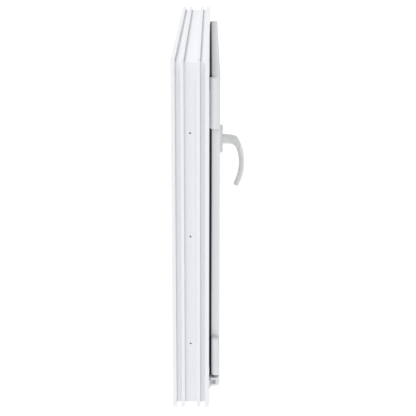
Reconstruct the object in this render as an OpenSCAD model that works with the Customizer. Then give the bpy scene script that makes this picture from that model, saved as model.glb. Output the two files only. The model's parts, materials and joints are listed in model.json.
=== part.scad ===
// Tilt-and-turn window: outer frame, inward-opening sash, double glazing, hinges, lock gear and handle.
// X runs along the width with the hinges at -X, -Y is the room side, Z is up.
// The origin is at the middle of the sill, on the tip of its rib that is third from the exterior.

/* [Frame] */
// Width over the frame's rib tips
frame_w = 800; // [700:10:1200]
// Height over the frame's rib tips
frame_h = 600; // [560:10:1200]
// Depth of the frame profile
frame_depth = 61.5; // [60:0.5:64]
// Height of the ribs on the frame's back
rib_h = 6.5; // [4:0.5:8]
// Height of the rebate above the rib tips
rebate_u = 38; // [37:0.5:39]
// Height of the exterior upstand above the rib tips
upstand_u = 62; // [60:1:64]
// Depth of the exterior upstand
upstand_v = 17; // [16:0.5:17]
// Radius of the pilot holes for frame screws through the jambs
fixing_r = 1.5; // [1:0.25:4]

/* [Sash] */
// Distance of the flange's edge from the rib tips
flange_u = 30; // [30:0.5:32]
// Thickness of the flange
flange_t = 13.6; // [12:0.2:14]
// Gap between the frame's face and the flange
seal_gap = 3.9; // [3.5:0.1:4.2]
// Distance of the sash body from the rib tips
sash_u = 50; // [49:0.5:51]
// Distance of the glazing rebate from the rib tips
glazing_u = 88; // [86:1:92]
// Height of the glazing leg and the beads
bead_h = 20; // [16:1:22]
// Thickness of the double glazing
glazing_t = 24; // [20:1:24]
// Thickness of one pane
pane_t = 4; // [3:1:6]

/* [Hinges] */
// Distance of the hinge line from the rib tips
hinge_u = 20.5; // [20.5:0.25:21]
// Distance of the hinge line from the frame's room face
hinge_out = 8.7; // [8.5:0.1:8.8]
// Height of the tilt axis
tilt_z = 36; // [36:0.5:38]
// Length of the stay arm between its pins
stay_length = 280; // [240:5:300]

/* [Handle] */
// Distance of the handle's axis from the rib tips
handle_u = 65; // [65:0.5:66]
// Thickness of the lever
lever_t = 13.5; // [12:0.5:15]
// Drop of the lever's end below its axis
lever_drop = 115; // [100:1:118]

/* [Hidden] */
$fn = 48;

SIDES = ["head", "sill", "hinge", "lock"];
eps = 0.01;

// Depths v are measured from the exterior face, distances u inwards from the rib tips
// Ribs on the frame's back, as [start, end] along the depth
ribs = [[0, 6.5], [15.2, 20.6], [41.1, 46.6], [54.5, frame_depth]];
origin_v = (ribs[2][0] + ribs[2][1]) / 2;
wall = 3;
web = 2.5;
flange_v = frame_depth + seal_gap;
room_v = flange_v + flange_t;
sash_v = 21;
room_y = origin_v - room_v;
frame_face_y = origin_v - frame_depth;
sight_u = glazing_u + bead_h;
mitre_reach = 130;

// Steel tubes
frame_steel_u = [10, 34.5];
frame_steel_v = [24.5, 49.5];
sash_steel_u = [55, 85];
sash_steel_v = [24.5, 43.5];
steel_t = 1.5;

// Glazing
pane_edge_u = glazing_u + 5;
outer_pane_v = sash_v + 17;
inner_pane_v = outer_pane_v + glazing_t - pane_t;
bead_v = outer_pane_v + glazing_t + 3;

// Hardware groove of the sash
groove_v = 52.4;
groove_w = 16;
channel_w = 12;
faceplate_t = 2.5;
channel_u = sash_u + 11;
rod_u = sash_u + faceplate_t + 0.3;
rod_t = 2.5;
rod_w = 10;
slot_r = 3.4;
cam_travel = 36;
cam_r = 5;
cam_pin_r = 3;
cam_u = rebate_u + 3.5;
keep_t = 2.5;

// Hinge line, and the heights of its pieces
hinge_x = -frame_w / 2 + hinge_u;
hinge_y = frame_face_y - hinge_out;
hinge_pin_r = 3;
cap_r = hinge_out;
stay_z = frame_h - 46;
stay_t = 3;
cap_bottom_z = frame_h - 117;
cap_top_z = frame_h - 50;
knuckle_z = cap_top_z + 0.4;
knuckle_top_z = frame_h - 33;
bracket_z = cap_bottom_z + 4;
bearing_z = [33, 47];
bearing_r = 8;
screw_r = 3.4;
pivot_r = 4;
washer_z = bearing_z[1] + 0.2;
washer_t = 1.2;
band_z = [50.5, 118];
band_t = 1.5;
band_cap_r = flange_t / 2;
stay_pin_x = hinge_x + stay_length;
groove_y = origin_v - groove_v;

// Handle: positions are given from its axis on the flange's room face
handle_x = frame_w / 2 - handle_u;
handle_z = frame_h / 2;
base_t = 5.5;
cover_t = 7.9;
plate_h = 65;
plate_w = 28;
screw_spacing = 43;
spindle_w = 7;
neck_r = 11.6;
lever_gap = 0.2;
lever_out = 64.5;
lever_bow_r = 122;
lever_bow_z = -57;
tip_r = 2.5;

// Heights of the three fixing holes in the hinge jamb; the lock jamb is the same bar turned end for end
fixing_z = [frame_h * 0.19, frame_h * 0.507, frame_h * 0.798];

// Cams at rest and the sense of their travel, as [side, position, sense]
lock_cam_z = [170, frame_h - 130];
top_cam_x = 150;
bottom_cam_x = 150;
cams = [["lock", lock_cam_z[0], -1], ["lock", lock_cam_z[1], -1], ["head", top_cam_x, 1],
        ["sill", bottom_cam_x, -1]];

function depth_y(v) = origin_v - v;
function is_level(side) = side == "head" || side == "sill";
function span(side) = is_level(side) ? frame_w : frame_h;
function along(side, pos) = is_level(side) ? -pos : pos - frame_h / 2;
function arc(cx, cy, r, from, to, steps) =
    [for (i = [0:steps]) let (a = from + (to - from) * i / steps) [cx + r * cos(a), cy + r * sin(a)]];

// Places a piece drawn with x = u, y = Y and z along the side
module on_side(side) {
    if (side == "sill") rotate([0, -90, 0]) children();
    if (side == "head") translate([0, 0, frame_h]) mirror([0, 0, 1]) rotate([0, -90, 0]) children();
    if (side == "hinge") translate([-frame_w / 2, 0, frame_h / 2]) children();
    if (side == "lock") mirror([1, 0, 0]) translate([-frame_w / 2, 0, frame_h / 2]) children();
}

// Runs a section drawn in u and v along one side, with both ends mitred at 45 degrees
module mitred(side) {
    half = span(side) / 2;
    on_side(side) intersection() {
        linear_extrude(2 * half, center = true) translate([0, origin_v]) mirror([0, 1]) children();
        rotate([90, 0, 0]) linear_extrude(400, center = true)
            polygon([[0, -half], [mitre_reach, mitre_reach - half],
                     [mitre_reach, half - mitre_reach], [0, half]]);
    }
}

// A block along one side, between two positions
module bar(side, from, to, us, vs) {
    a = along(side, from);
    b = along(side, to);
    on_side(side) translate([us[0], depth_y(vs[1]), min(a, b)])
        cube([us[1] - us[0], vs[1] - vs[0], abs(b - a)]);
}

// A round post that stands across one side, along u
module post(side, pos, v, us, r, r2 = -1) {
    on_side(side) translate([us[0], depth_y(v), along(side, pos)]) rotate([0, 90, 0])
        cylinder(h = us[1] - us[0], r1 = r, r2 = r2 < 0 ? r : r2);
}

module rect(us, vs) {
    translate([us[0], vs[0]]) square([us[1] - us[0], vs[1] - vs[0]]);
}

module rounded_rect(w, h, r) {
    square([w - 2 * r, h], center = true);
    square([w, h - 2 * r], center = true);
    for (x = [-1, 1], y = [-1, 1]) translate([x * (w / 2 - r), y * (h / 2 - r)]) circle(r);
}

// A rod along Y, from one distance in front of the flange's face to another behind it
module across(x, z, out, depth, r) {
    translate([x, room_y - out, z]) rotate([-90, 0, 0]) cylinder(h = out + depth, r = r);
}

// ---------- frame ----------

module frame_section() {
    difference() {
        union() {
            rect([rib_h, rebate_u], [0, frame_depth]);
            polygon([[rebate_u - eps, 0], [upstand_u - 3, 0], [upstand_u, upstand_v - 2],
                     [upstand_u, upstand_v], [rebate_u - eps, upstand_v]]);
            for (r = ribs) rect([0, rib_h + eps], r);
        }
        rect([rib_h + wall, upstand_u - 7], [wall, upstand_v - wall]);
        rect([rib_h + wall, rebate_u - wall], [upstand_v, frame_steel_v[0] - web]);
        rect([rib_h + wall, rebate_u - wall], [frame_steel_v[0] - 0.5, frame_steel_v[1] + 0.5]);
        rect([rib_h + wall, rebate_u - wall], [frame_steel_v[1] + web + 0.5, frame_depth - wall]);
    }
}

module frame_bar(side) {
    color("white") mitred(side) frame_section();
}

// Screws that hold the keeps to the rebate
module keep_screw_shapes(side = "all") {
    for (c = cams) if (side == "all" || c[0] == side)
        for (end = [-1, 1]) {
            middle = c[1] + c[2] * cam_travel / 2;
            post(c[0], middle + end * 31, groove_v, [rebate_u - wall - 4, rebate_u + keep_t + 0.6], 1.8);
        }
}

module drain_slots() {
    for (x = [-0.3, 0.3]) translate([x * frame_w, origin_v + 1, 16]) rotate([90, 0, 0])
        linear_extrude(wall + 3) rounded_rect(30, 5, 2.49);
}

module fixing_holes(side, us) {
    for (z = fixing_z) post(side, side == "hinge" ? z : frame_h - z, frame_depth / 2, us, fixing_r);
}

module frame_head() {
    difference() {
        frame_bar("head");
        keep_screw_shapes("head");
    }
}

module frame_sill() {
    difference() {
        frame_bar("sill");
        keep_screw_shapes("sill");
        drain_slots();
    }
}

module frame_hinge_jamb() {
    difference() {
        frame_bar("hinge");
        fixing_holes("hinge", [-1, rebate_u + 1]);
        hinge_screw_shapes();
        bearing_screw_shape();
    }
}

module frame_lock_jamb() {
    difference() {
        frame_bar("lock");
        keep_screw_shapes("lock");
        fixing_holes("lock", [-1, rebate_u + 1]);
    }
}

module steel_tube(side, inset, us, vs) {
    difference() {
        bar(side, inset[0], inset[1], us, vs);
        bar(side, inset[0] - 1, inset[1] + 1,
            [us[0] + steel_t, us[1] - steel_t], [vs[0] + steel_t, vs[1] - steel_t]);
    }
}

module frame_reinforcement() {
    color("silver") for (side = SIDES) difference() {
        steel_tube(side, is_level(side) ? [-frame_w / 2 + 50, frame_w / 2 - 50] : [50, frame_h - 50],
                   frame_steel_u, frame_steel_v);
        if (!is_level(side)) fixing_holes(side, [0, rebate_u]);
    }
}

module frame_seal() {
    color("black") for (side = SIDES) mitred(side)
        polygon([[53, upstand_v], [59, upstand_v], [60.5, upstand_v + 3],
                 [59, sash_v - 0.3], [57, sash_v - 0.3]]);
}

// The keeps stand clear of the cams, with their raised ends beyond the cams' travel
module lock_keeps() {
    color("silver") difference() {
        for (c = cams) {
            middle = c[1] + c[2] * cam_travel / 2;
            bar(c[0], middle - 37, middle + 37, [rebate_u, rebate_u + keep_t], [groove_v - 8, groove_v + 8]);
            for (end = [-1, 1])
                bar(c[0], middle + end * 37, middle + end * 41,
                    [rebate_u, rebate_u + 7], [groove_v - 8, groove_v + 8]);
        }
        keep_screw_shapes();
    }
}

module keep_screws() {
    color("silver") keep_screw_shapes();
}

// ---------- upper hinge ----------

hinge_screw_z = [bracket_z + 6, bracket_z + 17];

module hinge_screw_shapes() {
    for (z = hinge_screw_z) translate([hinge_x, hinge_y - 2, z]) rotate([-90, 0, 0])
        cylinder(h = hinge_out + 2 + 8.9, r = 2);
}

module upper_hinge_screws() {
    color("silver") {
        hinge_screw_shapes();
        for (z = hinge_screw_z) translate([hinge_x, hinge_y - 4, z]) rotate([-90, 0, 0])
            cylinder(h = 2, r = 3.6);
    }
}

module upper_hinge_bracket() {
    color("silver") difference() {
        union() {
            translate([hinge_x, hinge_y, bracket_z]) cylinder(h = cap_top_z - 2 - bracket_z, r = 5.5);
            translate([hinge_x - 5, hinge_y, bracket_z]) cube([10, hinge_out, cap_top_z - 2 - bracket_z]);
        }
        translate([hinge_x, hinge_y, bracket_z + 25]) cylinder(h = 100, r = hinge_pin_r);
        hinge_screw_shapes();
        translate([hinge_x - 8, hinge_y - 8, bracket_z - 1]) cube([16, 6, 24]);
    }
}

module upper_hinge_pin() {
    color("silver") translate([hinge_x, hinge_y, bracket_z + 25])
        cylinder(h = knuckle_top_z - 2.4 - bracket_z - 25, r = hinge_pin_r);
}

// A round cap with a rounded lower end, open towards the frame for the bracket
module upper_hinge_cap() {
    edge = 4;
    color("white") difference() {
        translate([hinge_x, hinge_y, 0]) rotate_extrude() polygon(concat(
            [[0, cap_bottom_z]],
            arc(cap_r - edge, cap_bottom_z + edge, edge, -90, 0, 8),
            [[cap_r, cap_top_z], [0, cap_top_z]]));
        translate([hinge_x, hinge_y, bracket_z - 0.5]) cylinder(h = cap_top_z - 1.5 - bracket_z, r = 7);
        translate([hinge_x - 5, hinge_y, bracket_z]) cube([10, hinge_out + 1, cap_top_z - 2 - bracket_z]);
        translate([hinge_x, hinge_y, cap_top_z - 3]) cylinder(h = 4, r = hinge_pin_r + 0.3);
    }
}

// ---------- stay ----------

module stay_arm() {
    crank_y = [hinge_y + 5.55, hinge_y + 8.05];
    bar_y = [groove_y - 8.85, groove_y + 3.15];
    crank_end_x = -frame_w / 2 + 43;
    color("silver") difference() {
        union() {
            translate([hinge_x, hinge_y, knuckle_z]) cylinder(h = 7, r = 6.5);
            translate([hinge_x - 2, crank_y[0], stay_z - 3])
                cube([crank_end_x - hinge_x + 2, crank_y[1] - crank_y[0], 8]);
            translate([0, 0, stay_z]) linear_extrude(stay_t) polygon([
                [crank_end_x - 2.5, crank_y[0]], [crank_end_x + 6, crank_y[0]], [crank_end_x + 16, bar_y[0]],
                [stay_pin_x, bar_y[0]], [stay_pin_x + 9, groove_y - 3], [stay_pin_x + 9, groove_y + 3],
                [stay_pin_x, bar_y[1]], [crank_end_x + 18, bar_y[1]], [crank_end_x - 2.5, crank_y[1] + 1]]);
        }
        translate([hinge_x, hinge_y, knuckle_z - 1]) cylinder(h = 20, r = hinge_pin_r + 0.05);
        translate([stay_pin_x, groove_y, stay_z - 1]) cylinder(h = 10, r = 3);
    }
}

// A dome-topped cap over the arm's knuckle, cut away where the crank leaves it
module stay_knuckle_cap() {
    edge = 3;
    color("white") difference() {
        translate([hinge_x, hinge_y, 0]) rotate_extrude() polygon(concat(
            [[0, knuckle_z], [cap_r, knuckle_z]],
            arc(cap_r - edge, knuckle_top_z - edge, edge, 0, 90, 8),
            [[0, knuckle_top_z]]));
        translate([hinge_x, hinge_y, knuckle_z - 1]) cylinder(h = 8, r = 6.5);
        translate([hinge_x, hinge_y, knuckle_z])
            cylinder(h = knuckle_top_z - knuckle_z - 2, r = hinge_pin_r + 0.3);
        translate([hinge_x - 2, hinge_y + 5.55, knuckle_z - 1]) cube([14, 4, stay_z + 5 - knuckle_z + 1]);
    }
}

module stay_end_pin() {
    color("silver") translate([stay_pin_x, groove_y, frame_h - 57]) cylinder(h = 57 - 46 + stay_t, r = 3);
}

// ---------- lower hinge ----------

module bearing_screw_shape() {
    translate([hinge_x - 11.5, frame_face_y - 3.2, (bearing_z[0] + bearing_z[1]) / 2]) rotate([-90, 0, 0])
        cylinder(h = 3.2 + 8.9, r = 2);
}

module bearing_fixing_screw() {
    color("silver") {
        bearing_screw_shape();
        translate([hinge_x - 11.5, frame_face_y - 4, (bearing_z[0] + bearing_z[1]) / 2]) rotate([-90, 0, 0])
            cylinder(h = 1.5, r1 = 2.6, r2 = 3.4);
    }
}

module lower_bearing() {
    height = bearing_z[1] - bearing_z[0];
    color("white") difference() {
        union() {
            translate([hinge_x, hinge_y, bearing_z[0]]) cylinder(h = height, r = bearing_r);
            translate([hinge_x - bearing_r, hinge_y, bearing_z[0]]) cube([2 * bearing_r, hinge_out, height]);
            translate([hinge_x - 16.5, frame_face_y - 2.5, bearing_z[0]]) cube([12, 2.5, height]);
        }
        translate([hinge_x, hinge_y, bearing_z[0] + 2]) cylinder(h = height, r = pivot_r + 0.05);
        translate([hinge_x - bearing_r - 1, hinge_y, (bearing_z[0] + bearing_z[1]) / 2]) rotate([0, 90, 0]) {
            cylinder(h = 1 + bearing_r - pivot_r - 0.4, r = screw_r);
            cylinder(h = 2.2, r = screw_r + 0.7);
        }
        bearing_screw_shape();
    }
}

// The adjusting screw in the bearing's side, with a hexagonal socket
module lower_bearing_screw() {
    color("silver") translate([hinge_x - bearing_r - 0.2, hinge_y, (bearing_z[0] + bearing_z[1]) / 2])
        rotate([0, 90, 0]) difference() {
            cylinder(h = bearing_r - pivot_r - 0.2, r = screw_r);
            translate([0, 0, -1]) cylinder(h = 3, r = 1.9, $fn = 6);
        }
}

module pivot_pin() {
    color("silver") translate([hinge_x, hinge_y, bearing_z[0] + 2.1])
        cylinder(h = washer_z + washer_t - bearing_z[0] - 2.1, r = pivot_r);
}

module pivot_washer() {
    color("gray") translate([hinge_x, hinge_y, washer_z]) difference() {
        cylinder(h = washer_t, r = 6);
        translate([0, 0, -1]) cylinder(h = 4, r = pivot_r);
    }
}

band_screw_z = [band_z[0] + 14, band_z[1] - 14];

module band_screw_shapes() {
    for (z = band_screw_z) translate([-frame_w / 2 + flange_u - band_t, room_y + flange_t / 2, z])
        rotate([0, 90, 0]) cylinder(h = band_t + 4, r = 1.8);
}

module lower_hinge_band() {
    inset = 0.6;
    color("silver") difference() {
        translate([-frame_w / 2 + flange_u - band_t, room_y + inset, band_z[0]])
            cube([band_t, flange_t - 2 * inset, band_z[1] - band_z[0] - 2]);
        band_screw_shapes();
    }
}

module hinge_band_screws() {
    color("silver") band_screw_shapes();
}

// A half-round column against the sash's edge
module lower_hinge_cap() {
    x = -frame_w / 2 + flange_u - band_t;
    center = [x - band_cap_r, room_y + band_cap_r];
    color("white") difference() {
        translate([center[0], center[1], band_z[0]]) linear_extrude(band_z[1] - band_z[0]) {
            circle(band_cap_r);
            translate([0, -band_cap_r]) square([band_cap_r, flange_t]);
        }
        translate([center[0], center[1], band_z[0] - 1]) cylinder(h = 20, r = 4.8);
    }
}

// ---------- sash ----------

module sash_section() {
    difference() {
        union() {
            rect([sash_u, glazing_u], [sash_v, room_v]);
            polygon([[flange_u + 1, flange_v], [sash_u + eps, flange_v], [sash_u + eps, room_v],
                     [flange_u + 2, room_v], [flange_u, room_v - 2], [flange_u, flange_v + 1]]);
            polygon([[glazing_u - eps, sash_v], [sight_u - 5, sash_v], [sight_u, sash_v + 6],
                     [sight_u, outer_pane_v - 3], [glazing_u - eps, outer_pane_v - 3]]);
        }
        rect([sash_u - 1, sash_u + faceplate_t], [groove_v - groove_w / 2, groove_v + groove_w / 2]);
        rect([sash_u, channel_u], [groove_v - channel_w / 2, groove_v + channel_w / 2]);
        rect([sash_u + wall + 1.5, glazing_u - wall + 0.5], [sash_v + wall, groove_v - groove_w / 2 - 0.4]);
        rect([channel_u + web, glazing_u - web], [groove_v - channel_w / 2, groove_v + channel_w / 2]);
        rect([sash_u + wall, glazing_u - web], [groove_v + groove_w / 2 + 0.6, room_v - wall]);
        rect([flange_u + wall, sash_u + 0.5], [flange_v + web, room_v - wall]);
        rect([glazing_u, sight_u - 7], [sash_v + wall, outer_pane_v - 3 - web]);
    }
}

module sash_bar(side) {
    color("white") mitred(side) sash_section();
}

module handle_screw_shapes(r) {
    for (end = [-1, 1]) across(handle_x, handle_z + end * screw_spacing / 2, base_t, 26, r);
}

module sash_top_rail() {
    sash_bar("head");
}

module sash_bottom_rail() {
    sash_bar("sill");
}

module sash_hinge_stile() {
    difference() {
        sash_bar("hinge");
        band_screw_shapes();
    }
}

gearbox_u = [sash_u + faceplate_t + rod_t + 1, glazing_u - 10];
gearbox_z = [handle_z - 60, handle_z + 60];
gearbox_v = [groove_v - channel_w / 2 + 0.2, groove_v + channel_w / 2 - 0.2];

module sash_lock_stile() {
    difference() {
        sash_bar("lock");
        bar("lock", gearbox_z[0] - 0.5, gearbox_z[1] + 0.5, [sash_u - 1, gearbox_u[1] + 0.5],
            [groove_v - channel_w / 2, groove_v + channel_w / 2]);
        across(handle_x, handle_z, 1, 30, 6);
        handle_screw_shapes(2.6);
    }
}

module sash_reinforcement() {
    inset = 95;
    color("silver") for (side = SIDES) {
        ends = is_level(side) ? [-frame_w / 2 + inset, frame_w / 2 - inset] : [inset, frame_h - inset];
        steel_tube(side, ends, sash_steel_u, sash_steel_v);
    }
}

// The inner seal behind the flange, notched where the stay's crank passes
module sash_seal() {
    lip_u = flange_u + 1;
    bulb_u = [tilt_z, tilt_z + 4.5];
    color("black") difference() {
        for (side = SIDES) mitred(side)
            polygon([[lip_u, frame_depth + 1.1], [bulb_u[0], frame_depth + 1.1],
                     [bulb_u[0] + 0.7, frame_depth + 0.4], [bulb_u[1] - 1, frame_depth + 0.4],
                     [bulb_u[1], frame_depth + 1.4], [bulb_u[1], flange_v], [lip_u, flange_v]]);
        translate([-frame_w / 2 + flange_u - 1, frame_face_y - seal_gap - 1, stay_z - 5])
            cube([16, seal_gap + 2, 14]);
    }
}

module pane(v) {
    w = frame_w - 2 * pane_edge_u;
    h = frame_h - 2 * pane_edge_u;
    translate([-w / 2, depth_y(v + pane_t), pane_edge_u]) cube([w, pane_t, h]);
}

module outer_pane() {
    color("lightblue", 0.4) pane(outer_pane_v);
}

module inner_pane() {
    color("lightblue", 0.4) pane(inner_pane_v);
}

module glazing_spacer() {
    color("gray") for (side = SIDES) mitred(side)
        rect([pane_edge_u + 3, sight_u - 1], [outer_pane_v + pane_t, inner_pane_v]);
}

module outer_glazing_seal() {
    color("black") for (side = SIDES) mitred(side)
        rect([sight_u - 8, sight_u - 0.5], [outer_pane_v - 3, outer_pane_v]);
}

module inner_glazing_seal() {
    color("black") for (side = SIDES) mitred(side)
        rect([sight_u - 8, sight_u - 0.5], [outer_pane_v + glazing_t, bead_v]);
}

// A snap-in glazing bead with a chamfered room edge
module bead(side) {
    color("white") mitred(side) difference() {
        polygon([[glazing_u, bead_v], [sight_u, bead_v], [sight_u, room_v - 6], [sight_u - 5, room_v],
                 [glazing_u, room_v]]);
        rect([glazing_u + 2.5, sight_u - 6], [bead_v + 2.5, room_v - 2.5]);
    }
}

module bead_top() {
    bead("head");
}

module bead_bottom() {
    bead("sill");
}

module bead_hinge() {
    bead("hinge");
}

module bead_lock() {
    bead("lock");
}

module setting_blocks() {
    us = [glazing_u, pane_edge_u];
    vs = [outer_pane_v, outer_pane_v + glazing_t];
    color("dimgray") {
        for (side = ["head", "sill"], x = [-0.25 * frame_w, 0.25 * frame_w])
            bar(side, x - 40, x + 40, us, vs);
        for (side = ["hinge", "lock"], z = [0.3, 0.7]) bar(side, z * frame_h - 30, z * frame_h + 30, us, vs);
    }
}

// ---------- lock gear ----------

faceplate_v = [groove_v - groove_w / 2, groove_v + groove_w / 2];
corner_reach = 60;
corner_x = frame_w / 2 - sash_u - corner_reach;
stay_guide_x = [stay_pin_x - 50, stay_pin_x + 40];
faceplate_screw_at = [["lock", 122], ["lock", frame_h - 122], ["head", stay_guide_x[1] + 10],
                      ["head", corner_x - 5], ["sill", -90], ["sill", corner_x - 5]];

module faceplate_screw_shapes() {
    for (s = faceplate_screw_at) post(s[0], s[1], groove_v, [sash_u, channel_u - 2], 1.8);
}

module cam_slots(side) {
    for (c = cams) if (c[0] == side)
        bar(side, c[1] + c[2] * cam_travel + c[2] * slot_r, c[1] - c[2] * slot_r, [sash_u - 1, sash_u + 4],
            [groove_v - slot_r, groove_v + slot_r]);
}

module faceplate(side, from, to) {
    color("silver") difference() {
        bar(side, from, to, [sash_u, sash_u + faceplate_t], faceplate_v);
        cam_slots(side);
        faceplate_screw_shapes();
    }
}

module lock_faceplate() {
    faceplate("lock", sash_u + corner_reach, frame_h - sash_u - corner_reach);
}

module top_faceplate() {
    faceplate("head", stay_guide_x[1], corner_x);
}

module bottom_faceplate() {
    faceplate("sill", -100, corner_x);
}

module faceplate_screws() {
    color("silver") faceplate_screw_shapes();
}

// An angle with a covered leg along each side of a corner
module corner_drive(level_side, sign) {
    us = [sash_u, sash_u + faceplate_t];
    inner_us = [sash_u + faceplate_t, channel_u - 1];
    inner_vs = [groove_v - channel_w / 2 + 0.2, groove_v + channel_w / 2 - 0.2];
    corner_z = level_side == "head" ? frame_h - sash_u : sash_u;
    color("silver") {
        bar(level_side, corner_x, corner_x + corner_reach, us, faceplate_v);
        bar(level_side, corner_x + corner_reach - 40, corner_x + corner_reach, inner_us, inner_vs);
        bar("lock", corner_z - sign * corner_reach, corner_z, us, faceplate_v);
        bar("lock", corner_z - sign * 40, corner_z, inner_us, inner_vs);
    }
}

module corner_drive_top() {
    corner_drive("head", 1);
}

module corner_drive_bottom() {
    corner_drive("sill", -1);
}

module stay_guide() {
    color("silver") difference() {
        bar("head", stay_guide_x[0], stay_guide_x[1], [sash_u, sash_u + faceplate_t], faceplate_v);
        bar("head", stay_guide_x[0] + 10, stay_guide_x[1] - 10,
            [sash_u - 1, sash_u + 4], [groove_v - 4.5, groove_v + 4.5]);
    }
}

module gearbox() {
    color("silver") difference() {
        bar("lock", gearbox_z[0], gearbox_z[1], gearbox_u, gearbox_v);
        translate([handle_x, groove_y + 4.2, handle_z]) rotate([90, 0, 0])
            cylinder(h = 8.4, r = 9.2);
        across(handle_x, handle_z, 1, 40, 5.2);
        handle_screw_shapes(2.5);
    }
}

module pinion() {
    teeth = 14;
    points = [for (i = [0:4 * teeth - 1])
        let (r = i % 4 < 2 ? 8.9 : 7.4, a = i * 90 / teeth) [r * cos(a), r * sin(a)]];
    color("silver") translate([handle_x, groove_y + 4, handle_z]) rotate([90, 0, 0])
        linear_extrude(8) difference() {
            polygon(points);
            square(spindle_w, center = true);
        }
}

module rod(side, from, to) {
    color("silver") bar(side, from, to, [rod_u, rod_u + rod_t], [groove_v - rod_w / 2, groove_v + rod_w / 2]);
}

// A mushroom cam riveted to its rod
module cam(side, pos) {
    color("silver") {
        post(side, pos, groove_v, [cam_u + 1.5, rod_u], cam_pin_r);
        post(side, pos, groove_v, [cam_u, cam_u + 1.5], cam_r - 1, cam_r);
        post(side, pos, groove_v, [cam_u + 1.5, cam_u + 3], cam_r);
    }
}

module lock_rod() {
    rod("lock", 132 + cam_travel, frame_h - 127);
}

module lock_cams() {
    for (z = lock_cam_z) cam("lock", z);
}

module top_rod() {
    rod("head", stay_guide_x[1] + 16, corner_x - 10 - cam_travel);
}

module top_cam() {
    cam("head", top_cam_x);
}

module bottom_rod() {
    rod("sill", -80 + cam_travel, corner_x - 10);
}

module bottom_cam() {
    cam("sill", bottom_cam_x);
}

// ---------- handle ----------

module plate(out, thickness, inset, corner_r) {
    translate([handle_x, room_y - out, handle_z]) rotate([90, 0, 0])
        linear_extrude(thickness) rounded_rect(plate_w - 2 * inset, plate_h - 2 * inset, corner_r);
}

module handle_base() {
    color("gainsboro") difference() {
        plate(0, base_t, 0, 8);
        across(handle_x, handle_z, 20, 5, 5.3);
        handle_screw_shapes(2.5);
    }
}

module handle_cover() {
    edge = 1.5;
    color("gainsboro") difference() {
        union() {
            plate(base_t, cover_t - edge, 0.6, 7.4);
            plate(base_t + cover_t - edge - eps, edge, 0.6 + edge, 5.9);
        }
        plate(base_t - 1, cover_t - 1.5, 2.6, 5.4);
        across(handle_x, handle_z, 20, 5, 5.3);
    }
}

module handle_screws() {
    color("silver") {
        handle_screw_shapes(2.5);
        for (end = [-1, 1]) translate([handle_x, room_y - base_t, handle_z + end * screw_spacing / 2])
            rotate([90, 0, 0]) cylinder(h = 2.2, r = 4.5);
    }
}

// Side view of the lever, with x the distance out from the flange and y the height from the axis
module lever_side() {
    cx = lever_out - lever_bow_r;
    inner_r = lever_bow_r - lever_t;
    top_angle = asin((neck_r - 8 - lever_bow_z) / lever_bow_r);
    end_angle = asin((lever_drop - tip_r + lever_bow_z) / lever_bow_r);
    fillet = 12;
    fillet_y = -neck_r - fillet;
    fillet_x = cx + sqrt(pow(inner_r - fillet, 2) - pow(fillet_y - lever_bow_z, 2));
    fillet_angle = atan2(fillet_y - lever_bow_z, fillet_x - cx);
    corner = lever_bow_r - tip_r;
    inner_corner = inner_r + tip_r;
    start = base_t + cover_t + lever_gap;
    polygon(concat(
        [[start, -neck_r], [start, neck_r], [33, neck_r]],
        arc(38, neck_r - 9, 9, 75, 45, 3),
        arc(cx, lever_bow_z, lever_bow_r, top_angle, -end_angle, 24),
        arc(cx + corner * cos(end_angle), lever_bow_z - corner * sin(end_angle), tip_r,
            -end_angle, -end_angle - 90, 4),
        arc(cx + inner_corner * cos(end_angle), lever_bow_z - inner_corner * sin(end_angle), tip_r,
            -end_angle - 90, -end_angle - 180, 4),
        arc(cx, lever_bow_z, inner_r, -end_angle, fillet_angle, 20),
        arc(fillet_x, fillet_y, fillet, fillet_angle, 90, 6)));
}

// Front view of the lever, round about its axis and tapered to its end
module lever_front() {
    end_r = 9.2;
    lean = asin((neck_r - end_r) / (lever_drop - end_r));
    polygon(concat(
        arc(0, 0, neck_r, -lean, 180 + lean, 32),
        arc(0, end_r - lever_drop, end_r, 180 + lean, 360 - lean, 20)));
}

module handle_lever() {
    color("gainsboro") difference() {
        translate([handle_x, room_y, handle_z]) intersection() {
            rotate([0, 0, -90]) rotate([90, 0, 0]) linear_extrude(40, center = true) lever_side();
            rotate([90, 0, 0]) linear_extrude(100) lever_front();
        }
        translate([handle_x - spindle_w / 2, room_y - 30, handle_z - spindle_w / 2])
            cube([spindle_w, 30, spindle_w]);
    }
}

module spindle() {
    color("silver") translate([handle_x - spindle_w / 2, room_y - 30, handle_z - spindle_w / 2])
        cube([spindle_w, 30 + room_v - groove_v + 4, spindle_w]);
}

frame_head();
frame_sill();
frame_hinge_jamb();
frame_lock_jamb();
frame_reinforcement();
frame_seal();
lock_keeps();
keep_screws();
upper_hinge_bracket();
upper_hinge_pin();
upper_hinge_cap();
upper_hinge_screws();
lower_bearing();
lower_bearing_screw();
bearing_fixing_screw();
pivot_pin();
pivot_washer();
stay_arm();
stay_knuckle_cap();
stay_end_pin();
sash_top_rail();
sash_bottom_rail();
sash_hinge_stile();
sash_lock_stile();
sash_reinforcement();
sash_seal();
outer_pane();
inner_pane();
glazing_spacer();
outer_glazing_seal();
inner_glazing_seal();
bead_top();
bead_bottom();
bead_hinge();
bead_lock();
setting_blocks();
stay_guide();
lower_hinge_band();
lower_hinge_cap();
hinge_band_screws();
lock_faceplate();
top_faceplate();
bottom_faceplate();
faceplate_screws();
corner_drive_top();
corner_drive_bottom();
gearbox();
handle_base();
handle_cover();
handle_screws();
handle_lever();
spindle();
pinion();
lock_rod();
lock_cams();
top_rod();
top_cam();
bottom_rod();
bottom_cam();
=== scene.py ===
"""Tilt-and-turn window: finishes, small hardware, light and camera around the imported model."""
import json
import math

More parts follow.
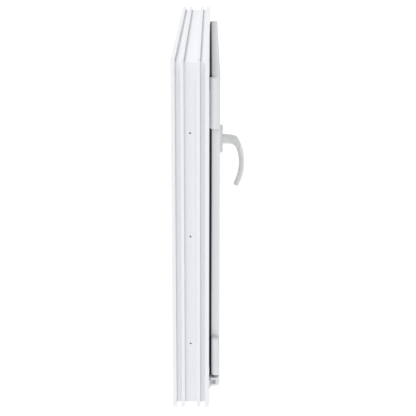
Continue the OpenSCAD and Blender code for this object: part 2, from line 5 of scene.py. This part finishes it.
import bmesh
import bpy
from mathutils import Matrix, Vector


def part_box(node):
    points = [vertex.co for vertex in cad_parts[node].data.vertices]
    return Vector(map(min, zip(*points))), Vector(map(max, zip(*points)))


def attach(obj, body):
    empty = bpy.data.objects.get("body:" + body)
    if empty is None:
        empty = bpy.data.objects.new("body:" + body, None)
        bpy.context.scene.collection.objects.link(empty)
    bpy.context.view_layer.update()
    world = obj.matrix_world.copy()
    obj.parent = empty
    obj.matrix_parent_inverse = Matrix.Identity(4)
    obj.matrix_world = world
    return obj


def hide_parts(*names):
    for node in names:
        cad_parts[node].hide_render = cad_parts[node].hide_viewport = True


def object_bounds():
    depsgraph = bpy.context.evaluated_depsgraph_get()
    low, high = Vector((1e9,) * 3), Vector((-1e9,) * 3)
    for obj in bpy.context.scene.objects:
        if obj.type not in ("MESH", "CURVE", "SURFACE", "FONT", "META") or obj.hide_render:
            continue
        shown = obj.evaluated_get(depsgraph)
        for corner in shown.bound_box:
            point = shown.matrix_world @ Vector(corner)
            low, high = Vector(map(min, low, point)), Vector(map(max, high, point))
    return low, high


MM = 0.001

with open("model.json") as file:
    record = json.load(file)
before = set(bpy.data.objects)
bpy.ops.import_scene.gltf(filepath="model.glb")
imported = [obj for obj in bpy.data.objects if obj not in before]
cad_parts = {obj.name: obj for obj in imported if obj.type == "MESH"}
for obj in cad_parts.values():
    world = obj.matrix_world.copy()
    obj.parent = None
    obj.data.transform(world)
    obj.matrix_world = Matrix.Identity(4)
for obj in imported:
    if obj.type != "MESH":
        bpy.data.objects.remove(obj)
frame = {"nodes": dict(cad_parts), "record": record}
CAD_LOW, CAD_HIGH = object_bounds()
NODES = frame["nodes"]

# Outline of the frame, and the levels that its pieces are set out from
FRAME_LOW = Vector(map(min, zip(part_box("frame_hinge_jamb")[0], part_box("frame_sill")[0])))
FRAME_HIGH = Vector(map(max, zip(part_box("frame_lock_jamb")[1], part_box("frame_head")[1])))
FRAME_EXTERIOR_Y = FRAME_HIGH.y
FRAME_ROOM_Y = FRAME_LOW.y
SASH_ROOM_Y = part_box("sash_bottom_rail")[0].y
SASH_EXTERIOR_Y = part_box("sash_bottom_rail")[1].y


# ---------- materials ----------

# Places of the two colours and of the result among the sockets of a colour Mix node
COLOUR_A, COLOUR_B, MIXED = 6, 7, 2
PLASTIC_IOR, PVC_IOR, GLASS_IOR = 1.5, 1.53, 1.52
# Height that a full step of a fine skin pattern stands for
SKIN_RELIEF = 0.1 * MM


def hex_colour(code):
    """An sRGB hex colour as linear red, green, blue and alpha."""
    channels = [int(code[i:i + 2], 16) / 255 for i in (1, 3, 5)]
    return [c / 12.92 if c <= 0.04045 else ((c + 0.055) / 1.055) ** 2.4 for c in channels] + [1]


def fill_inputs(node, inputs):
    """Sets a node's inputs, and links those that are given as sockets."""
    for name, value in inputs.items():
        if isinstance(value, bpy.types.NodeSocket):
            node.id_data.links.new(value, node.inputs[name])
        else:
            node.inputs[name].default_value = value


def add_node(tree, kind, inputs=None, **settings):
    """Adds a shader node with its settings and its inputs."""
    node = tree.nodes.new("ShaderNode" + kind)
    for name, value in settings.items():
        setattr(node, name, value)
    fill_inputs(node, inputs or {})
    return node


def new_material(name):
    """An empty material: its tree and its principled shader."""
    material = bpy.data.materials.new(name)
    material.use_nodes = True
    return material, material.node_tree, material.node_tree.nodes["Principled BSDF"]


def pattern_place(tree, across, along=None, axis=None):
    """Object coordinates divided by a pattern's size in millimetres, with another size along one axis."""
    sizes = [along if name == axis else across for name in "XYZ"]
    place = add_node(tree, "TexCoord")
    return add_node(tree, "Mapping", {"Vector": place.outputs["Object"],
                                      "Scale": [1 / MM / size for size in sizes]}).outputs["Vector"]


def extruded_pvc(name, axis):
    """White window-grade PVC, extruded: satin skin with faint draw lines that run along the bar."""
    material, tree, shader = new_material(name)
    line_gap, line_length, ripple = 2.2, 900, 90
    lines = add_node(tree, "TexNoise", {"Vector": pattern_place(tree, line_gap, line_length, axis),
                                        "Scale": 1, "Detail": 3, "Roughness": 0.6})
    waves = add_node(tree, "TexNoise", {"Vector": pattern_place(tree, ripple), "Scale": 1, "Detail": 2})
    share = add_node(tree, "MapRange", {"Value": lines.outputs["Fac"], "From Min": 0.35, "From Max": 0.65})
    tint = add_node(tree, "Mix", {"Factor": share.outputs["Result"], COLOUR_A: hex_colour("#E2E4E7"),
                                  COLOUR_B: hex_colour("#E8E9EC")}, data_type="RGBA")
    gloss = add_node(tree, "MapRange", {"Value": waves.outputs["Fac"], "From Min": 0.3, "From Max": 0.7,
                                        "To Min": 0.3, "To Max": 0.36})
    bump = add_node(tree, "Bump", {"Height": lines.outputs["Fac"], "Strength": 0.05, "Distance": SKIN_RELIEF})
    fill_inputs(shader, {"Base Color": tint.outputs[MIXED], "Roughness": gloss.outputs["Result"],
                         "Normal": bump.outputs["Normal"], "IOR": PVC_IOR})
    return material


def epdm_rubber():
    """Black EPDM gasket, extruded and cured: matt, with a fine dusty grain."""
    material, tree, shader = new_material("epdm_rubber")
    grain_size, dust_size = 0.5, 30
    grain = add_node(tree, "TexNoise", {"Vector": pattern_place(tree, grain_size), "Scale": 1, "Detail": 4})
    dust = add_node(tree, "TexNoise", {"Vector": pattern_place(tree, dust_size), "Scale": 1, "Detail": 3})
    tint = add_node(tree, "Mix", {"Factor": dust.outputs["Fac"], COLOUR_A: hex_colour("#101112"),
                                  COLOUR_B: hex_colour("#1E1F21")}, data_type="RGBA")
    bump = add_node(tree, "Bump", {"Height": grain.outputs["Fac"], "Strength": 0.25, "Distance": SKIN_RELIEF})
    fill_inputs(shader, {"Base Color": tint.outputs[MIXED], "Normal": bump.outputs["Normal"],
                         "Roughness": 0.62, "IOR": PLASTIC_IOR})
    return material


def moulded_plastic(name, light, dark, roughness, grain_size, grain_depth):
    """Injection-moulded plastic with a spark-eroded skin: even colour and a fine pebble grain."""
    material, tree, shader = new_material(name)
    cloud_size = 18
    grain = add_node(tree, "TexVoronoi", {"Vector": pattern_place(tree, grain_size), "Scale": 1},
                     feature="SMOOTH_F1")
    cloud = add_node(tree, "TexNoise", {"Vector": pattern_place(tree, cloud_size), "Scale": 1, "Detail": 3})
    tint = add_node(tree, "Mix", {"Factor": cloud.outputs["Fac"], COLOUR_A: hex_colour(light),
                                  COLOUR_B: hex_colour(dark)}, data_type="RGBA")
    bump = add_node(tree, "Bump", {"Height": grain.outputs["Distance"], "Strength": grain_depth,
                                   "Distance": SKIN_RELIEF})
    fill_inputs(shader, {"Base Color": tint.outputs[MIXED], "Normal": bump.outputs["Normal"],
                         "Roughness": roughness, "IOR": PLASTIC_IOR})
    return material


def powder_coat():
    """White powder coat on die-cast zinc: a hard satin film with a very fine orange peel."""
    material, tree, shader = new_material("white_powder_coat")
    peel_size, cloud_size = 1.1, 25
    peel = add_node(tree, "TexNoise", {"Vector": pattern_place(tree, peel_size), "Scale": 1, "Detail": 2})
    cloud = add_node(tree, "TexNoise", {"Vector": pattern_place(tree, cloud_size), "Scale": 1, "Detail": 2})
    tint = add_node(tree, "Mix", {"Factor": cloud.outputs["Fac"], COLOUR_A: hex_colour("#EEEFEE"),
                                  COLOUR_B: hex_colour("#F2F3F2")}, data_type="RGBA")
    bump = add_node(tree, "Bump", {"Height": peel.outputs["Fac"], "Strength": 0.1, "Distance": SKIN_RELIEF})
    fill_inputs(shader, {"Base Color": tint.outputs[MIXED], "Normal": bump.outputs["Normal"],
                         "Roughness": 0.3, "IOR": PLASTIC_IOR, "Coat Weight": 0.25, "Coat Roughness": 0.15})
    return material


def plated_steel(name, light, dark, roughness, spangle):
    """Zinc-plated steel: a cool metal whose crystals and passivation vary from patch to patch."""
    material, tree, shader = new_material(name)
    streak_size, variation = 6, 0.07
    crystals = add_node(tree, "TexVoronoi", {"Vector": pattern_place(tree, spangle), "Scale": 1})
    streaks = add_node(tree, "TexNoise", {"Vector": pattern_place(tree, streak_size), "Scale": 1,
                                          "Detail": 5})
    patch = add_node(tree, "SeparateColor", {"Color": crystals.outputs["Color"]})
    tint = add_node(tree, "Mix", {"Factor": patch.outputs["Red"], COLOUR_A: hex_colour(light),
                                  COLOUR_B: hex_colour(dark)}, data_type="RGBA")
    gloss = add_node(tree, "MapRange", {"Value": streaks.outputs["Fac"], "From Min": 0.3, "From Max": 0.7,
                                        "To Min": roughness - variation, "To Max": roughness + variation})
    fill_inputs(shader, {"Base Color": tint.outputs[MIXED], "Roughness": gloss.outputs["Result"],
                         "Metallic": 1})
    return material


def float_glass():
    """Clear float glass, fire-polished: colourless face on, faintly green in its depth."""
    material, tree, shader = new_material("float_glass")
    ripple_size = 300
    ripple = add_node(tree, "TexNoise", {"Vector": pattern_place(tree, ripple_size), "Scale": 1, "Detail": 1})
    bump = add_node(tree, "Bump", {"Height": ripple.outputs["Fac"], "Strength": 0.02,
                                   "Distance": SKIN_RELIEF})
    fill_inputs(shader, {"Normal": bump.outputs["Normal"], "Base Color": hex_colour("#FBFEFD"),
                         "Roughness": 0, "IOR": GLASS_IOR, "Transmission Weight": 1})
    return material


def rolled_aluminium():
    """Mill-finish aluminium strip with rows of punched holes: the spacer of a glass unit. The holes are
    painted dark, as painted shade inside them.
    """
    material, tree, shader = new_material("rolled_aluminium")
    hole_pitch, hole_depth = 4, 0.2 * MM
    grid = add_node(tree, "TexVoronoi", {"Vector": pattern_place(tree, hole_pitch), "Scale": 1,
                                         "Randomness": 0})
    strip = add_node(tree, "MapRange", {"Value": grid.outputs["Distance"], "From Min": 0.2, "From Max": 0.26})
    # Painted shade: the dark colour at each hole stands for the shade inside it, and the light one is the
    # metal
    tint = add_node(tree, "Mix", {"Factor": strip.outputs["Result"], COLOUR_A: hex_colour("#4A4C4E"),
                                  COLOUR_B: hex_colour("#C9CBCD")}, data_type="RGBA")
    bump = add_node(tree, "Bump", {"Height": strip.outputs["Result"], "Strength": 0.5,
                                   "Distance": hole_depth})
    fill_inputs(shader, {"Base Color": tint.outputs[MIXED], "Normal": bump.outputs["Normal"],
                         "Metallic": 1, "Roughness": 0.38})
    return material


def scraped_weld():
    """PVC melted and scraped flush at a mitre: the same white, duller where the blade has passed."""
    material, tree, shader = new_material("scraped_pvc_weld")
    scrape_size = 0.8
    scrape = add_node(tree, "TexNoise", {"Vector": pattern_place(tree, scrape_size), "Scale": 1, "Detail": 4})
    tint = add_node(tree, "Mix", {"Factor": scrape.outputs["Fac"], COLOUR_A: hex_colour("#D6D9DC"),
                                  COLOUR_B: hex_colour("#E1E3E6")}, data_type="RGBA")
    bump = add_node(tree, "Bump", {"Height": scrape.outputs["Fac"], "Strength": 0.3, "Distance": SKIN_RELIEF})
    fill_inputs(shader, {"Base Color": tint.outputs[MIXED], "Normal": bump.outputs["Normal"],
                         "Roughness": 0.55, "IOR": PVC_IOR})
    return material


def backlit_acrylic():
    """Opal acrylic sheet lit from below: an even white that takes only a faint shadow."""
    material, tree, shader = new_material("backlit_opal_acrylic")
    grain_size, glow = 40, 0.97
    grain = add_node(tree, "TexNoise", {"Vector": pattern_place(tree, grain_size), "Scale": 1, "Detail": 2})
    tint = add_node(tree, "Mix", {"Factor": grain.outputs["Fac"], COLOUR_A: hex_colour("#555555"),
                                  COLOUR_B: hex_colour("#575757")}, data_type="RGBA")
    fill_inputs(shader, {"Base Color": tint.outputs[MIXED], "Roughness": 0.9, "Specular IOR Level": 0,
                         "Emission Color": hex_colour("#FFFFFF"), "Emission Strength": glow})
    return material


LEVEL_PVC = extruded_pvc("extruded_pvc_level", "X")
UPRIGHT_PVC = extruded_pvc("extruded_pvc_upright", "Z")
EPDM = epdm_rubber()
CAP_PLASTIC = moulded_plastic("moulded_abs", "#E3E5E7", "#DDDFE2", 0.36, 0.7, 0.12)
POLYPROPYLENE = moulded_plastic("moulded_polypropylene", "#4D5A66", "#44505B", 0.5, 0.9, 0.2)
ACETAL = moulded_plastic("moulded_acetal", "#B4B6B2", "#A9ABA8", 0.35, 0.8, 0.1)
WELD = scraped_weld()
COAT = powder_coat()
ZINC = plated_steel("galvanised_steel", "#B9BDC0", "#9EA3A7", 0.36, 5)
BRIGHT_ZINC = plated_steel("bright_zinc_steel", "#B4B8BC", "#A5A9AE", 0.28, 1.5)
GLASS = float_glass()
SPACER = rolled_aluminium()

FINISH_OF_SLOT = {
    "seal_black": EPDM, "glass_clear": GLASS, "hinge_cap_white": CAP_PLASTIC, "handle_coat": COAT,
    "block_plastic": POLYPROPYLENE, "washer_grey": ACETAL, "spacer_aluminium": SPACER,
    "steel_bright": BRIGHT_ZINC, "steel_zinc": ZINC}
UPRIGHT_BARS = ("frame_hinge_jamb", "frame_lock_jamb", "sash_hinge_stile", "sash_lock_stile",
                "bead_hinge", "bead_lock")


def finish_node(name, slot):
    """Gives a carried-over node its material."""
    if slot == "upvc_white":
        material = UPRIGHT_PVC if name in UPRIGHT_BARS else LEVEL_PVC
    else:
        material = FINISH_OF_SLOT[slot]
    mesh = NODES[name].data
    mesh.materials.clear()
    mesh.materials.append(material)


# Edge radius of each kind of piece, in millimetres
EDGE_OF_SLOT = {"upvc_white": 0.5, "seal_black": 0.25, "hinge_cap_white": 0.9, "handle_coat": 0.9,
                "block_plastic": 0.4, "washer_grey": 0.2, "steel_zinc": 0.25, "steel_bright": 0.2}
# Corners of a node, and points of a new piece, that are nearer than this are one
JOIN_DISTANCE, SAME_POINT = 0.01 * MM, 0.001 * MM
# Faces that turn less than the first angle are one face, and an edge that turns more than the second is sharp
FLAT_ANGLE = math.radians(0.5)
SHARP_ANGLE = math.radians(35)


def soften_edges(name, slot):
    """Rounds a node's sharp edges with a small bevel."""
    if slot not in EDGE_OF_SLOT:
        return
    node = NODES[name]
    weld = node.modifiers.new("weld", "WELD")
    weld.merge_threshold = JOIN_DISTANCE
    plain = node.modifiers.new("plain_faces", "DECIMATE")
    plain.decimate_type = "DISSOLVE"
    plain.angle_limit = FLAT_ANGLE
    bevel = node.modifiers.new("edge", "BEVEL")
    bevel.width = EDGE_OF_SLOT[slot] * MM
    bevel.segments = 3
    bevel.limit_method = "ANGLE"
    bevel.angle_limit = SHARP_ANGLE
    bevel.miter_outer = "MITER_ARC"
    bevel.harden_normals = True


for part in frame["record"]["subparts"]:
    finish_node(part["node"], part["material_slot"])
    soften_edges(part["node"], part["material_slot"])


# ---------- pieces made here ----------

def add_piece(name, points, faces, material, body, sharp_angle=SHARP_ANGLE):
    """A mesh object from points in metres, shaded smooth below an angle, riding on a body."""
    mesh = bpy.data.meshes.new(name)
    mesh.from_pydata([tuple(p) for p in points], [], faces)
    shape = bmesh.new()
    shape.from_mesh(mesh)
    bmesh.ops.remove_doubles(shape, verts=shape.verts, dist=SAME_POINT)
    bmesh.ops.recalc_face_normals(shape, faces=shape.faces)
    shape.to_mesh(mesh)
    shape.free()
    mesh.materials.append(material)
    mesh.shade_smooth()
    mesh.set_sharp_from_angle(angle=sharp_angle)
    piece = bpy.data.objects.new(name, mesh)
    bpy.context.scene.collection.objects.link(piece)
    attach(piece, body)
    return piece


def loft(rings):
    """Points and faces of a closed body through rings of equal count, with a flat face at each end."""
    count = len(rings[0])
    points = [p for ring in rings for p in ring]
    faces = [tuple(range(count)), tuple(range(len(points) - count, len(points)))]
    for level in range(len(rings) - 1):
        for i in range(count):
            a, b = level * count + i, level * count + (i + 1) % count
            faces.append((a, b, b + count, a + count))
    return points, faces


def column_levels(low, high, low_edge, high_edge, radius, steps=7):
    """Heights and size factors of a column whose two ends are rounded by an edge radius."""
    levels = []
    for end, edge, inward in ((low, low_edge, 1), (high, high_edge, -1)):
        turns = [i * math.pi / 2 / steps for i in range(steps + 1)] if edge else [math.pi / 2]
        rounded = [(end + inward * edge * (1 - math.cos(turn)), 1 - edge * (1 - math.sin(turn)) / radius)
                   for turn in turns]
        levels += rounded[::inward]
    return levels


def make_column(name, replaced, outline, centre, levels, body):
    """A cap with one outline all the way up, drawn in a little at its rounded ends."""
    rings = [[Vector((centre.x + x * size, centre.y + y * size, z)) for x, y in outline]
             for z, size in levels]
    points, faces = loft(rings)
    piece = add_piece(name, points, faces, CAP_PLASTIC, body)
    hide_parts(replaced)


def circle_outline(radius, count=56):
    """A circle's points."""
    return [(radius * math.cos(i * math.tau / count), radius * math.sin(i * math.tau / count))
            for i in range(count)]


def half_round_outline(radius, corner, count=28):
    """Round on the side away from the sash, square with small corners on the sash side."""
    arc = [(radius * math.cos(a), radius * math.sin(a))
           for a in (math.pi / 2 + i * math.pi / count for i in range(count + 1))]
    corner_steps = 5
    flat = []
    for side in (-1, 1):
        turns = [i * math.pi / 2 / corner_steps for i in range(corner_steps + 1)][::-side]
        flat += [(radius - corner + corner * math.sin(turn),
                  side * (radius - corner + corner * math.cos(turn))) for turn in turns]
    return arc + flat


def make_hinge_caps():
    """The round cover of the upper hinge, its knuckle cover above a hairline joint, and the lower column."""
    joint, upper_foot, upper_crown = 0.02 * MM, 4 * MM, 2.6 * MM
    lower_foot, lower_crown, lower_corner = 1.6 * MM, 2.2 * MM, 1.2 * MM
    low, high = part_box("upper_hinge_cap")
    knuckle_low, knuckle_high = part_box("stay_knuckle_cap")
    radius = (high.x - low.x) / 2
    seam = (high.z + knuckle_low.z) / 2
    centre = Vector(((low.x + high.x) / 2, low.y + radius, 0))
    ring = circle_outline(radius)
    make_column("upper_hinge_cover", "upper_hinge_cap", ring, centre,
                column_levels(low.z, seam - joint, upper_foot, 0, radius), "frame")
    make_column("upper_knuckle_cover", "stay_knuckle_cap", ring, centre,
                column_levels(seam + joint, knuckle_high.z, 0, upper_crown, radius), "stay")
    low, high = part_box("lower_hinge_cap")
    radius = (high.y - low.y) / 2
    centre = Vector((low.x + radius, low.y + radius, 0))
    make_column("lower_hinge_cover", "lower_hinge_cap", half_round_outline(radius, lower_corner), centre,
                column_levels(low.z, high.z, lower_foot, lower_crown, radius), "sash")


def lever_sections():
    """The lever's sections from neck to tip: upper edge, lower edge, half width and squareness.

    Distances are in millimetres: out from the sash's face and up from the spindle. The grip is a bow between
    an outer and an inner circle."""
    bow_out, bow_up, outer, inner = -57.5, -57, 122, 108.5
    neck = [((13.6, 11.5), (13.6, -11.5)), ((14.4, 11.6), (14.4, -11.7)), ((20, 11), (20, -11.8)),
            ((27, 10.2), (27.5, -12)), ((33, 9.4), (33.5, -12.6)), ((38.5, 8.4), (38, -14.3)),
            ((43, 7.0), (41.4, -17)), ((46.5, 4.8), (43.9, -20.4))]
    sections = [(top, low, 11.6 - 0.12 * i, 2.1 + 0.05 * i) for i, (top, low) in enumerate(neck)]
    grip_steps, first_outer, first_inner, end = 26, 28.2, 17.7, -27.1
    grip_width, tip_width, grip_square = 10.7, 9.4, 2.5
    for i in range(grip_steps + 1):
        share = i / grip_steps
        edges = []
        for first, radius in ((first_outer, outer), (first_inner, inner)):
            angle = math.radians(first + (end - first) * share)
            edges.append((bow_out + radius * math.cos(angle), bow_up + radius * math.sin(angle)))
        sections.append((*edges, grip_width + (tip_width - grip_width) * share, grip_square))
    # Past the grip: degrees further round the bow, share of its thickness, and how much narrower
    rounded_tip = ((0.5, 0.97, 0.2), (0.9, 0.88, 0.9), (1.15, 0.76, 1.8), (1.2, 0.66, 2.4))
    for turn, size, narrower in rounded_tip:
        angle = math.radians(end - turn)
        middle, half = (outer + inner) / 2, (outer - inner) / 2 * size
        edges = [(bow_out + r * math.cos(angle), bow_up + r * math.sin(angle))
                 for r in (middle + half, middle - half)]
        sections.append((*edges, tip_width - narrower, grip_square))
    return sections


def make_lever():
    """The handle's lever: one smooth casting from a round neck to a flat-sided grip."""
    count, sharp_angle = 40, math.radians(60)
    low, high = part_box("handle_base")
    axis = Vector(((low.x + high.x) / 2, SASH_ROOM_Y, (low.z + high.z) / 2))
    rings = []
    for top, bottom, half_width, square in lever_sections():
        middle = [(t + b) / 2 for t, b in zip(top, bottom)]
        half = [(t - b) / 2 for t, b in zip(top, bottom)]
        ring = []
        for turn in (i * math.tau / count for i in range(count)):
            across, along = (math.copysign(abs(wave(turn)) ** (2 / square), wave(turn))
                             for wave in (math.cos, math.sin))
            out, up = middle[0] + half[0] * along, middle[1] + half[1] * along
            ring.append(axis + Vector((half_width * across, -out, up)) * MM)
        rings.append(ring)
    points, faces = loft(rings)
    lever = add_piece("curved_lever", points, faces, COAT, "handle", sharp_angle)
    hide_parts("handle_lever")


def make_weld(name, y, first, last, outward, body):
    """The four scraped weld lines of a mitred frame on one of its faces.

    They run from the first to the last distance from the window's edge, in millimetres."""
    width, height, sharp_angle = 1.8 * MM, 0.22 * MM, math.radians(80)
    section = [(-0.5, 0), (-0.3, 0.75), (0, 1), (0.3, 0.75), (0.5, 0)]
    count = len(section)
    points, faces = [], []
    for x_edge, x_inward in ((FRAME_LOW.x, 1), (FRAME_HIGH.x, -1)):
        for z_edge, z_inward in ((FRAME_LOW.z, 1), (FRAME_HIGH.z, -1)):
            ends = [Vector((x_edge + x_inward * reach * MM, y, z_edge + z_inward * reach * MM))
                    for reach in (first, last)]
            across = (ends[1] - ends[0]).normalized().cross(Vector((0, 1, 0))) * width
            start = len(points)
            for end in ends:
                points += [end + across * a + Vector((0, outward * height * h, 0)) for a, h in section]
            faces += [(i, i + 1, i + count + 1, i + count) for i in range(start, start + count - 1)]
            faces += [tuple(range(start, start + count)), tuple(range(start + count, start + 2 * count)),
                      (start, start + count - 1, start + 2 * count - 1, start + count)]
    add_piece(name, points, faces, WELD, body, sharp_angle)


make_hinge_caps()
make_lever()
# Where the bars' faces begin and end, in millimetres in from the window's edge
FRAME_EDGE, FRAME_EDGE_UNDER_FLANGE, FRAME_SIGHT_LINE = 0.8, 29, 58
FLANGE_EDGE, SASH_BODY_EDGE, SASH_SIGHT_LINE = 30.8, 50.8, 87.4
make_weld("frame_room_welds", FRAME_ROOM_Y, FRAME_EDGE, FRAME_EDGE_UNDER_FLANGE, -1, "frame")
make_weld("frame_exterior_welds", FRAME_EXTERIOR_Y, FRAME_EDGE, FRAME_SIGHT_LINE, 1, "frame")
make_weld("sash_room_welds", SASH_ROOM_Y, FLANGE_EDGE, SASH_SIGHT_LINE, -1, "sash")
make_weld("sash_exterior_welds", SASH_EXTERIOR_Y, SASH_BODY_EDGE, SASH_SIGHT_LINE, 1, "sash")


# ---------- floor, light and camera ----------

def make_floor():
    """A wide plain floor under the sill."""
    reach = 14
    mesh = bpy.data.meshes.new("studio_floor")
    corners = [(x * reach, y * reach, CAD_LOW.z) for x, y in ((-1, -1), (1, -1), (1, 1), (-1, 1))]
    mesh.from_pydata(corners, [], [(0, 1, 2, 3)])
    floor = bpy.data.objects.new("studio_floor", mesh)
    bpy.context.scene.collection.objects.link(floor)
    mesh.materials.append(backlit_acrylic())


def make_lamp(name, strength, spread, towards_lamp):
    """A far, wide softbox: one even direction of light with soft-edged shadows."""
    light = bpy.data.lights.new(name, "SUN")
    light.energy = strength
    light.angle = math.radians(spread)
    lamp = bpy.data.objects.new(name, light)
    bpy.context.scene.collection.objects.link(lamp)
    lamp.rotation_mode = "QUATERNION"
    lamp.rotation_quaternion = Vector(towards_lamp).to_track_quat("Z", "Y")


def make_light():
    """A pale surround, brighter overhead and dimmer below, a front softbox and an overhead one.

    The surround shows plain white, straight on and through glass."""
    world = bpy.data.worlds.new("studio")
    bpy.context.scene.world = world
    world.use_nodes = True
    tree = world.node_tree
    dim, bright, bright_side = 0.32, 0.76, Vector((-0.2, 0.15, 0.97)).normalized()
    number_a, number_b, mixed_number = 2, 3, 0
    place = add_node(tree, "TexCoord")
    slope = add_node(tree, "VectorMath", {0: place.outputs["Generated"], 1: bright_side},
                     operation="DOT_PRODUCT")
    level = add_node(tree, "MapRange", {"Value": slope.outputs["Value"], "From Min": -1, "To Min": dim,
                                        "To Max": bright})
    path = add_node(tree, "LightPath")
    seen = add_node(tree, "Math", {0: path.outputs["Is Camera Ray"], 1: path.outputs["Is Transmission Ray"]},
                    operation="MAXIMUM")
    shown = add_node(tree, "Mix", {"Factor": seen.outputs["Value"], number_a: level.outputs["Result"],
                                   number_b: 1})
    fill_inputs(tree.nodes["Background"], {"Color": hex_colour("#FFFFFF"),
                                           "Strength": shown.outputs[mixed_number]})
    make_lamp("front_softbox", 0.65, 20, (-0.86, 0.26, 0.44))
    make_lamp("overhead_softbox", 1.9, 30, (-0.03, 0.42, 0.9))


def make_camera():
    """A long lens on the hinge side, a little above the head, tipped down."""
    reach, aside, height = 1.601, -0.0189, 0.8446
    yaw, pitch = math.radians(0.403), math.radians(-14.21)
    lens, sensor, shift_across, shift_up = 88.9, 36, 0.0119, -0.12
    camera = bpy.data.objects.new("camera", bpy.data.cameras.new("camera"))
    bpy.context.scene.collection.objects.link(camera)
    camera.location = (FRAME_LOW.x - reach, aside, FRAME_LOW.z + height)
    ahead = Vector((math.cos(yaw) * math.cos(pitch), math.sin(yaw) * math.cos(pitch), math.sin(pitch)))
    camera.rotation_mode = "QUATERNION"
    camera.rotation_quaternion = ahead.to_track_quat("-Z", "Y")
    camera.data.sensor_width = sensor
    camera.data.lens = lens
    camera.data.shift_x = shift_across
    camera.data.shift_y = shift_up
    bpy.context.scene.camera = camera


make_floor()
make_light()
make_camera()
bpy.context.scene.view_settings.view_transform = "Standard"

bpy.context.view_layer.update()
